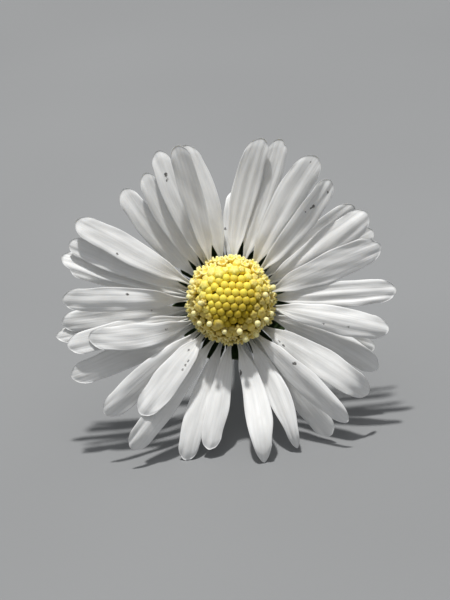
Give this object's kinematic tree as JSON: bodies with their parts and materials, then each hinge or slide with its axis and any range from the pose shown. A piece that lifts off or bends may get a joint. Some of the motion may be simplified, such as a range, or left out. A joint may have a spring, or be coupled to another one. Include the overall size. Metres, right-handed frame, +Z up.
{
  "type": "daisy",
  "caption": "Picked daisy: narrow white ray petals round a yellow disc, green bracts and a short curved stem, lying on its petal tips and cut end.",
  "frame": {"origin": "bottom centre of the bounding box, on the surface the flower lies on", "axes": "+Z up, +Y back along the lying stem to its cut end, so the face looks towards -Y and up; +X to the right across the face"},
  "size_m": [0.0262, 0.045, 0.0219],
  "materials": {
    "petal": "soft matte petal, slightly translucent",
    "bract": "matte green leaf with fine short hairs",
    "receptacle": "matte pale green plant flesh",
    "closed_floret": "satin deep yellow buds",
    "open_floret": "matte pale yellow florets",
    "stem": "matte green with fine short hairs"
  },
  "bodies": {
    "root": {"petal_01": "petal", "petal_02": "petal", "petal_03": "petal", "petal_04": "petal", "petal_05": "petal", "petal_06": "petal", "petal_07": "petal", "petal_08": "petal", "petal_09": "petal", "petal_10": "petal", "petal_11": "petal", "petal_12": "petal", "petal_13": "petal", "petal_14": "petal", "petal_15": "petal", "petal_16": "petal", "petal_17": "petal", "petal_18": "petal", "petal_19": "petal", "petal_20": "petal", "petal_21": "petal", "petal_22": "petal", "petal_23": "petal", "petal_24": "petal", "petal_25": "petal", "petal_26": "petal", "petal_27": "petal", "petal_28": "petal", "petal_29": "petal", "petal_30": "petal", "petal_31": "petal", "petal_32": "petal", "petal_33": "petal", "petal_34": "petal", "petal_35": "petal", "petal_36": "petal", "petal_37": "petal", "petal_38": "petal", "petal_39": "petal", "bract_01": "bract", "bract_02": "bract", "bract_03": "bract", "bract_04": "bract", "bract_05": "bract", "bract_06": "bract", "bract_07": "bract", "bract_08": "bract", "bract_09": "bract", "bract_10": "bract", "bract_11": "bract", "bract_12": "bract", "bract_13": "bract", "receptacle": "receptacle", "disc_buds": "closed_floret", "disc_open_florets": "open_floret", "stem": "stem"}
  },
  "joints": []
}
